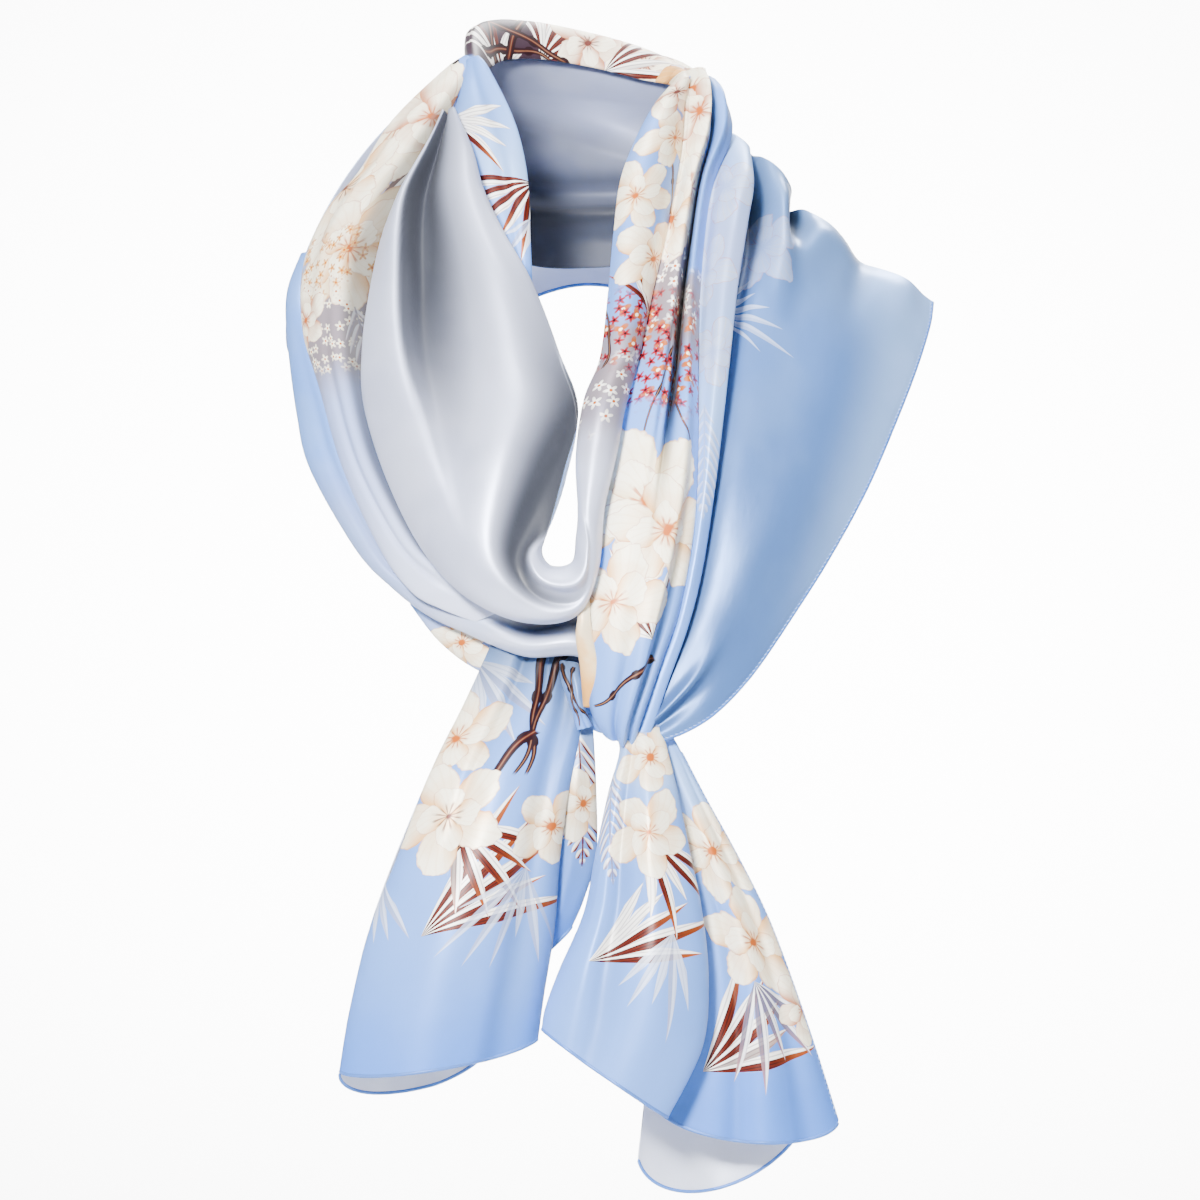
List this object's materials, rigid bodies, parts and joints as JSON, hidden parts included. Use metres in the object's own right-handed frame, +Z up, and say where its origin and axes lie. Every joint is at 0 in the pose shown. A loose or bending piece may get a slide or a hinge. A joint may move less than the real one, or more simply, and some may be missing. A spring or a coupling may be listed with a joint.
{
  "type": "worn long scarf",
  "caption": "Long satin scarf as worn: wound round the neck, spread over one shoulder, drawn through its own loop and left hanging in two tails.",
  "frame": {"origin": "middle of the neck that the scarf is wound round, level with the base of the neck", "axes": "+Z up the neck, -Y out through the wearer's chest towards someone facing them, +X towards that person's right, where the plain panel lies"},
  "size_m": [0.3254, 0.2608, 0.5835],
  "materials": {
    "silver_reverse": "silk satin, silver lavender reverse",
    "blue_ground": "silk satin, printed sky blue ground",
    "floral_print": "silk satin, printed with cream blossoms and leaves"
  },
  "bodies": {
    "root": {"neck_roll": "floral_print", "cowl": "silver_reverse", "inner_strand": "floral_print", "right_fall": "floral_print", "right_pleat": "blue_ground", "shoulder_panel": "blue_ground", "left_roll": "floral_print", "left_outer": "blue_ground", "lower_sliver": "floral_print", "left_lapel": "floral_print", "neck_band": "silver_reverse", "back_drape": "blue_ground", "loop_ear": "floral_print", "loop_twist": "blue_ground", "left_tail_front": "blue_ground", "left_tail_back": "silver_reverse", "left_tail_side": "blue_ground", "right_tail_front": "blue_ground", "right_tail_side": "blue_ground", "right_tail_back": "silver_reverse", "loop_hold": "blue_ground"}
  },
  "joints": []
}
